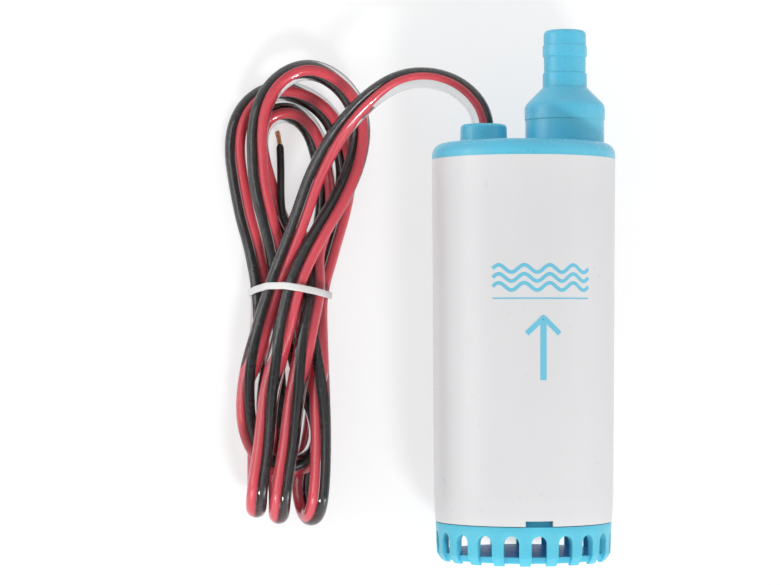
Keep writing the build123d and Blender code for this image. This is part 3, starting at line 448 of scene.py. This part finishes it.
def tie_outline():
    """The line that is drawn tight round the strands where the tie crosses them, in x and z."""
    offset = cable_diameter / 2 + tie_thickness / 2 + tie_clearance
    circle_points = 48
    found = []
    for a, b in zip(centreline[:-1], centreline[1:]):
        low, high = sorted((a[1], b[1]))
        if low <= tie_y < high and a[0] < hank_right:
            middle = a + (tie_y - a[1]) / (b[1] - a[1]) * (b - a)
            for k in range(circle_points):
                turn = math.tau * k / circle_points
                found.append((middle[0] + offset * math.cos(turn), middle[2] + offset * math.sin(turn)))
    ring = [found[i] for i in convex_hull_2d([Vector(p) for p in found])]
    return np.array(ring + ring[:1])


def tie_section(sides):
    """The band's section: a flat bar with rounded corners, as (across, out) pairs."""
    section = []
    for k in range(sides):
        c, s = math.cos(math.tau * k / sides), math.sin(math.tau * k / sides)
        across = math.copysign(abs(c) ** 0.5, c) * tie_width / 2
        out = math.copysign(abs(s) ** 0.7, s) * tie_thickness / 2
        section.append((across, out))
    return section


def make_tie():
    """A band drawn tight round the eight strands."""
    rings, sides = 160, 20
    outline = tie_outline()
    distance = along(outline)
    where = np.linspace(0, distance[-1], rings, endpoint=False)
    xs, zs = np.interp(where, distance, outline[:, 0]), np.interp(where, distance, outline[:, 1])
    line = [Vector((x, tie_place(x), z)) for x, z in zip(xs, zs)]
    section = tie_section(sides)
    points = []
    for i, centre in enumerate(line):
        flow = (line[(i + 1) % rings] - line[i - 1]).normalized()
        out = Vector((flow.z, 0, -flow.x)).normalized()
        wide = out.cross(flow).normalized()
        if (centre - tie_middle).dot(out) < 0:
            out = -out
        points.extend(centre + wide * w + out * t for w, t in section)
    return new_mesh("hank_tie", points, skin(rings, sides, closed=True))


tie = make_tie()


def make_spring():
    """The valve's spring with its end turns closed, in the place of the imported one."""
    low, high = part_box("valve_spring")
    reach = (high[0] - low[0] - spring_wire) / 2
    bottom, top = low[1] + spring_wire / 2, high[1] - spring_wire / 2
    rise = closed_turns * closed_pitch * spring_wire
    turns = np.linspace(0, spring_turns, spring_turns * 36 + 1)
    y = np.interp(
        turns,
        [0, closed_turns, spring_turns - closed_turns, spring_turns],
        [bottom, bottom + rise, top - rise, top],
    )
    x = (low[0] + high[0]) / 2 + reach * np.cos(math.tau * turns)
    z = (low[2] + high[2]) / 2 + reach * np.sin(math.tau * turns)
    return tube("closing_spring", np.stack([x, y, z], axis=1), spring_wire / 2, 10)


spring = make_spring()


# Materials
def new_material(name):
    made = bpy.data.materials.new(name)
    made.use_nodes = True
    return made, made.node_tree, made.node_tree.nodes["Principled BSDF"]


def add(tree, kind, **values):
    """A node of this kind, with its inputs set by name."""
    node = tree.nodes.new(kind)
    for key, value in values.items():
        if key in node.inputs:
            node.inputs[key].default_value = value
        else:
            setattr(node, key, value)
    return node


def coordinates(tree, stretch=(1, 1, 1)):
    """Object coordinates in metres, stretched by these factors."""
    place = add(tree, "ShaderNodeTexCoord")
    mapping = add(tree, "ShaderNodeMapping", Scale=stretch)
    tree.links.new(place.outputs["Object"], mapping.inputs["Vector"])
    return mapping.outputs["Vector"]


def noise(tree, vector, scale, detail=3.0, roughness=0.5):
    made = add(tree, "ShaderNodeTexNoise", Scale=scale, Detail=detail, Roughness=roughness)
    tree.links.new(vector, made.inputs["Vector"])
    return made.outputs["Fac"]


def spread(tree, value, low, high, start=0.3, stop=0.7):
    """A value moved from start..stop to low..high."""
    ends = {"From Min": start, "From Max": stop, "To Min": low, "To Max": high}
    made = add(tree, "ShaderNodeMapRange", **ends)
    tree.links.new(value, made.inputs["Value"])
    return made.outputs["Result"]


def mixed(tree, factor, first, second):
    """A colour between two others, by a factor."""
    made = tree.nodes.new("ShaderNodeMix")
    made.data_type = "RGBA"
    tree.links.new(factor, made.inputs[0])
    for socket, colour in ((made.inputs[6], first), (made.inputs[7], second)):
        if isinstance(colour, tuple):
            socket.default_value = (*colour[:3], 1)
        else:
            tree.links.new(colour, socket)
    return made.outputs[2]


def bump(tree, bsdf, value, strength, distance):
    made = add(tree, "ShaderNodeBump", Strength=strength, Distance=distance)
    tree.links.new(value, made.inputs["Height"])
    tree.links.new(made.outputs["Normal"], bsdf.inputs["Normal"])


def tinted(colour, factor):
    return tuple(min(1.0, c * factor) for c in colour)


def moulded(
    name, colour, rough, grain=2600, depth=0.00002, mottle=0.05, rough_spread=0.06, edge=None, **fixed
):
    """Moulded plastic: faint flow marks, a fine skin grain and slightly uneven gloss.

    edge is the colour painted on its sharp corners as a painted highlight, and fixed are constant shader
    inputs.
    """
    made, tree, bsdf = new_material(name)
    place = coordinates(tree)
    flow = noise(tree, coordinates(tree, (1, 0.35, 1)), 90, 4)
    fine = noise(tree, place, grain, 2)
    patches = noise(tree, place, 320, 4, 0.6)
    base = mixed(tree, spread(tree, flow, 0, 1), tinted(colour, 1 - mottle), tinted(colour, 1 + mottle))
    if edge is not None:
        # Sharp corners, found by their pointiness, are painted lighter towards the edge colour: a painted
        # highlight
        corner_highlight_mask = add(tree, "ShaderNodeNewGeometry").outputs["Pointiness"]
        base = mixed(tree, spread(tree, corner_highlight_mask, 0, 0.5, 0.52, 0.6), base, edge)
    tree.links.new(base, bsdf.inputs["Base Color"])
    gloss = spread(tree, patches, rough - rough_spread, rough + rough_spread)
    tree.links.new(gloss, bsdf.inputs["Roughness"])
    bump(tree, bsdf, fine, 0.25, depth)
    for key, value in fixed.items():
        bsdf.inputs[key.replace("_", " ")].default_value = value
    return made


def metal(name, colour, rough, lines=(1, 60, 1), scale=70, depth=0.00001, dull=0.8):
    """Turned or drawn metal: fine lines, and dull patches."""
    made, tree, bsdf = new_material(name)
    drawn = noise(tree, coordinates(tree, lines), scale, 5, 0.6)
    patches = noise(tree, coordinates(tree), 260, 4, 0.65)
    base = mixed(tree, spread(tree, patches, 0, 1), tinted(colour, dull), colour)
    tree.links.new(base, bsdf.inputs["Base Color"])
    tree.links.new(spread(tree, drawn, rough - 0.08, rough + 0.12), bsdf.inputs["Roughness"])
    bump(tree, bsdf, drawn, 0.35, depth)
    bsdf.inputs["Metallic"].default_value = 1.0
    return made


def banded(name, dark, light, pitch, rough, metallic, depth=0.00005):
    """Stacked sheets or wound wire: fine bands along the pump's axis."""
    made, tree, bsdf = new_material(name)
    wave = add(tree, "ShaderNodeTexWave", Scale=1.0, Distortion=0.15, Detail=2.0)
    wave.bands_direction = "Y"
    repeat = math.pi / 10   # of the wave texture, at a scale of 1
    tree.links.new(coordinates(tree, (1, repeat / pitch, 1)), wave.inputs["Vector"])
    patches = noise(tree, coordinates(tree), 500, 4, 0.6)
    light = mixed(tree, spread(tree, patches, 0, 1), light, tinted(light, 0.8))
    base = mixed(tree, wave.outputs["Fac"], dark, light)
    tree.links.new(base, bsdf.inputs["Base Color"])
    tree.links.new(spread(tree, patches, rough - 0.06, rough + 0.08), bsdf.inputs["Roughness"])
    bump(tree, bsdf, wave.outputs["Fac"], 0.6, depth)
    bsdf.inputs["Metallic"].default_value = metallic
    return made


def speckled(name, colour, fleck, rough, scale=2200):
    """Sintered or pressed grains: small flecks in a matt body."""
    made, tree, bsdf = new_material(name)
    cells = add(tree, "ShaderNodeTexVoronoi", Scale=scale)
    tree.links.new(coordinates(tree), cells.inputs["Vector"])
    patches = noise(tree, coordinates(tree), 300, 4)
    base = mixed(tree, spread(tree, cells.outputs["Distance"], 1, 0, 0.1, 0.45), colour, fleck)
    base = mixed(tree, spread(tree, patches, 0, 0.5), base, tinted(colour, 0.7))
    tree.links.new(base, bsdf.inputs["Base Color"])
    tree.links.new(spread(tree, patches, rough - 0.08, rough + 0.08), bsdf.inputs["Roughness"])
    bump(tree, bsdf, cells.outputs["Distance"], 0.4, 0.00003)
    return made


def clear_jacket():
    """Clear soft vinyl: slightly uneven gloss, faint ripples, and light passes through to the cores."""
    made, tree, bsdf = new_material("clear_vinyl")
    ripple = noise(tree, coordinates(tree), 260, 3)
    patches = noise(tree, coordinates(tree), 700, 3)
    tint = mixed(tree, spread(tree, patches, 0, 1), (0.75, 0.755, 0.76), (0.79, 0.795, 0.8))
    tree.links.new(tint, bsdf.inputs["Base Color"])
    tree.links.new(spread(tree, patches, 0.03, 0.09), bsdf.inputs["Roughness"])
    bsdf.inputs["Transmission Weight"].default_value = 1.0
    bsdf.inputs["IOR"].default_value = 1.47
    bump(tree, bsdf, ripple, 0.05, 0.0001)
    path = add(tree, "ShaderNodeLightPath")
    clear = add(tree, "ShaderNodeBsdfTransparent", Color=(0.96, 0.965, 0.97, 1))
    choose = add(tree, "ShaderNodeMixShader")
    tree.links.new(path.outputs["Is Shadow Ray"], choose.inputs["Fac"])
    tree.links.new(bsdf.outputs["BSDF"], choose.inputs[1])
    tree.links.new(clear.outputs["BSDF"], choose.inputs[2])
    tree.links.new(choose.outputs["Shader"], tree.nodes["Material Output"].inputs["Surface"])
    return made


# The lighter edge colours are painted highlights on the sharp corners of the white and blue plastic
white = (0.74, 0.74, 0.752)
white_edge_highlight = (0.8, 0.8, 0.81)
blue = (0.115, 0.565, 0.79)
blue_edge_highlight = (0.2, 0.66, 0.84)
blue_depth = (0.15, 0.6, 1.0)
looks = {
    "white_plastic": moulded("white_plastic", white, 0.33, depth=0.000006, mottle=0.015, edge=white_edge_highlight),
    "blue_plastic": moulded(
        "blue_plastic", blue, 0.3, depth=0.000009, mottle=0.04, edge=blue_edge_highlight,
        Subsurface_Weight=0.3, Subsurface_Radius=blue_depth, Subsurface_Scale=0.004,
    ),
    "clear_jacket": clear_jacket(),
    "red_core": moulded(
        "red_vinyl", (0.9, 0.085, 0.12), 0.24, depth=0.000008, mottle=0.04, rough_spread=0.03,
    ),
    "black_core": moulded(
        "black_vinyl", (0.014, 0.015, 0.016), 0.26, depth=0.000008, mottle=0.1, rough_spread=0.03,
    ),
    "copper": metal("bare_copper", (0.95, 0.6, 0.33), 0.3, (1, 8, 1), 400, dull=0.6),
    "white_tie": moulded("natural_nylon", (0.83, 0.83, 0.82), 0.4, mottle=0.02),
    "steel": metal("drawn_steel", (0.62, 0.63, 0.64), 0.3),
    "bronze": metal("sintered_bronze", (0.66, 0.46, 0.22), 0.38, (30, 60, 30), 60, dull=0.7),
    "rubber": moulded("black_rubber", (0.035, 0.035, 0.036), 0.62, 1800, 0.00004, 0.2),
    "dark_plastic": moulded("dark_acetal", (0.06, 0.065, 0.07), 0.45, 2000, 0.00003, 0.12),
    "ferrite": speckled("ferrite", (0.12, 0.12, 0.125), (0.2, 0.2, 0.21), 0.6),
    "carbon": speckled("pressed_carbon", (0.05, 0.05, 0.05), (0.12, 0.12, 0.12), 0.5, 3000),
    "lamination": banded("core_sheets", (0.12, 0.12, 0.125), (0.42, 0.43, 0.44), 0.0005, 0.4, 0.8),
    # From here on, the looks of single nodes, and of the print
    "windings": banded("enamelled_wire", (0.2, 0.07, 0.03), (0.62, 0.28, 0.12), 0.0004, 0.3, 0.6),
    "commutator": metal("commutator_copper", (0.75, 0.42, 0.25), 0.28, (1, 90, 1), 90, dull=0.75),
    # The pump casing's deep blue copies the blue seen in shade inside the strainer: its darkness is partly
    # painted shade
    "pump_casing": moulded("blue_acetal_with_painted_shade", (0.02, 0.16, 0.36), 0.38, 2000, 0.00003, 0.1),
    "print": moulded("cyan_print", (0.16, 0.56, 0.74), 0.45, mottle=0.05),
    "strainer": moulded(
        "strainer_blue", blue, 0.36, depth=0.000009, mottle=0.04, edge=blue_edge_highlight, Specular_IOR_Level=0.15,
        Subsurface_Weight=0.45, Subsurface_Radius=blue_depth, Subsurface_Scale=0.005,
    ),
}


def dress(obj, look):
    """Gives the object this material alone."""
    obj.data.materials.clear()
    obj.data.materials.append(looks[look])


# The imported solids: each takes its own look where it has one, and its slot's otherwise
for part in frame["record"]["subparts"]:
    name = part["node"]
    dress(nodes[name], name if name in looks else part["material_slot"])

for piece, look, slot_name in (
    (cable, "clear_jacket", "clear_jacket"), (core_black, "black_core", "black_core"),
    (core_red, "red_core", "red_core"), (copper_black, "copper", "copper"),
    (copper_red, "copper", "copper"), (tie, "white_tie", "white_tie"), (spring, "steel", "steel"),
):
    dress(piece, look)
    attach(piece, "pump")

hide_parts("cable_lead", "cable_hank")
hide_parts("core_end_black")
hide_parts("core_end_red")
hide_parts("copper_end_black")
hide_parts("copper_end_red")
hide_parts("cable_tie")
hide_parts("valve_spring")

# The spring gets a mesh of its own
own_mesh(spring)

# Print on the housing: plain waves, a line and a flow arrow, with no lettering
surface = BVHTree.FromPolygons(
    [v.co for v in nodes["housing"].data.vertices], [p.vertices[:] for p in nodes["housing"].data.polygons]
)
print_middle = math.radians(9.4)
print_lift = 0.00003


def on_housing(across, y, lift):
    """The place this far above the housing, this far round from the print's middle, and at this y."""
    turn = print_middle + across / axis_height
    way = Vector((math.sin(turn), 0, math.cos(turn)))
    outside = 0.06
    start = Vector((0, y, axis_height)) + way * outside
    found = surface.ray_cast(start, -way)[0]
    return found + way * lift


def printed_strip(name, line, width, lift=print_lift):
    """A thin printed stroke of this width along a line of (across, y) points."""
    shares = (-1, -0.33, 0.33, 1)
    rows = len(shares)
    points, faces = [], []
    line = [Vector(p) for p in line]
    for i, p in enumerate(line):
        flow = (line[min(i + 1, len(line) - 1)] - line[max(i - 1, 0)]).normalized()
        side = Vector((-flow.y, flow.x)) * width / 2
        for share in shares:
            points.append(on_housing(*(p + side * share), lift))
    for i in range(len(line) - 1):
        for k in range(rows - 1):
            a = i * rows + k
            faces.append((a, a + rows, a + rows + 1, a + 1))
    made = new_mesh(name, points, faces)
    dress(made, "print")
    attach(made, "pump")


def evenly(start, stop, count):
    return [start + (stop - start) * i / (count - 1) for i in range(count)]


print_half = 0.0128
wave_rows = (0.0062, 0.0040, 0.0018)
wave_height, wave_pitch, wave_stroke = 0.0009, 0.0064, 0.0009
line_row, line_stroke = -0.0011, 0.00035
shaft_start, shaft_stop, shaft_stroke = -0.0212, -0.0068, 0.0016
head_tip, head_half, head_slope, head_stroke = -0.0058, 0.0042, 0.95, 0.0013
head_lift = print_lift * 1.6   # it crosses the shaft

for number, row in enumerate(wave_rows):
    places = evenly(-print_half, print_half, 97)
    wave = [(x, row + wave_height * math.sin(math.tau * x / wave_pitch)) for x in places]
    printed_strip(f"print_wave_{number + 1}", wave, wave_stroke)
printed_strip("print_line", [(x, line_row) for x in evenly(-print_half, print_half, 61)], line_stroke)
printed_strip("print_arrow_shaft", [(0, y) for y in evenly(shaft_start, shaft_stop, 41)], shaft_stroke)
arrow_left = [(x, head_tip + x * head_slope) for x in evenly(-head_half, 0, 21)]
arrow_right = [(-x, y) for x, y in arrow_left[::-1]]
printed_strip("print_arrow_head", arrow_left + arrow_right[1:], head_stroke, head_lift)


# Floor, world and lights
floor_half = 3.0
floor_drop = 0.00005
floor_glow = 0.6
floor_corners = [
    (-floor_half, -floor_half, 0), (floor_half, -floor_half, 0), (floor_half, floor_half, 0),
    (-floor_half, floor_half, 0),
]
floor = new_mesh("floor", floor_corners, [(0, 1, 2, 3)], smooth=False)
floor.location.z = -floor_drop
floor_look, tree, bsdf = new_material("pale_floor")
bsdf.inputs["Roughness"].default_value = 0.9
bsdf.inputs["Specular IOR Level"].default_value = 0.1
cloud = spread(tree, noise(tree, coordinates(tree), 3), 0, 1)
shade = mixed(tree, cloud, (0.45, 0.45, 0.455), (0.47, 0.47, 0.475))
tree.links.new(shade, bsdf.inputs["Base Color"])

# The floor is a white background to the camera, through clear pieces and in reflections, and takes shadows
path = add(tree, "ShaderNodeLightPath")
shown = path.outputs["Is Camera Ray"]
for ray in ("Is Transmission Ray", "Is Glossy Ray"):
    either = add(tree, "ShaderNodeMath", operation="MAXIMUM")
    tree.links.new(shown, either.inputs[0])
    tree.links.new(path.outputs[ray], either.inputs[1])
    shown = either.outputs[0]
glow = add(tree, "ShaderNodeEmission", Color=(1, 1, 1, 1))
glow_level = add(tree, "ShaderNodeMath", operation="MULTIPLY")
tree.links.new(shown, glow_level.inputs[0])
glow_level.inputs[1].default_value = floor_glow
tree.links.new(glow_level.outputs[0], glow.inputs["Strength"])
both = add(tree, "ShaderNodeAddShader")
tree.links.new(bsdf.outputs["BSDF"], both.inputs[0])
tree.links.new(glow.outputs["Emission"], both.inputs[1])
tree.links.new(both.outputs["Shader"], tree.nodes["Material Output"].inputs["Surface"])
floor.data.materials.append(floor_look)

scene = bpy.context.scene
scene.view_settings.view_transform = "Standard"
world = bpy.data.worlds.new("studio")
scene.world = world
world.use_nodes = True
tree = world.node_tree
background = tree.nodes["Background"]

# The sky is a light tent: bright round the horizon, dim overhead, and plain white where the camera sees it
sky_horizon, sky_zenith = 1.4, 0.32
path = add(tree, "ShaderNodeLightPath")
way = add(tree, "ShaderNodeTexCoord")
height = add(tree, "ShaderNodeSeparateXYZ")
tree.links.new(way.outputs["Generated"], height.inputs["Vector"])
sky = spread(tree, height.outputs["Z"], sky_horizon, sky_zenith, 0.0, 1.0)
strength = add(tree, "ShaderNodeMapRange", **{"From Min": 0.0, "From Max": 1.0, "To Max": 1.0})
tree.links.new(path.outputs["Is Camera Ray"], strength.inputs["Value"])
tree.links.new(sky, strength.inputs["To Min"])
tree.links.new(strength.outputs["Result"], background.inputs["Strength"])
background.inputs["Color"].default_value = (1, 1, 1, 1)


def area_light(name, place, aim, size, watts):
    """A rectangular lamp at this place, turned to this point."""
    data = bpy.data.lights.new(name, "AREA")
    data.shape = "RECTANGLE"
    data.size, data.size_y = size
    data.energy = watts
    lamp = link(bpy.data.objects.new(name, data))
    lamp.location = place
    lamp.rotation_euler = (Vector(aim) - Vector(place)).to_track_quat("-Z", "Y").to_euler()


area_light("key_light", (0.21, -0.6, 0.65), (-0.01, 0, 0.02), (0.14, 0.14), 3.3)
area_light("fill_light", (-0.8, 0.1, 0.3), (-0.02, 0, 0.02), (0.5, 0.4), 1.15)
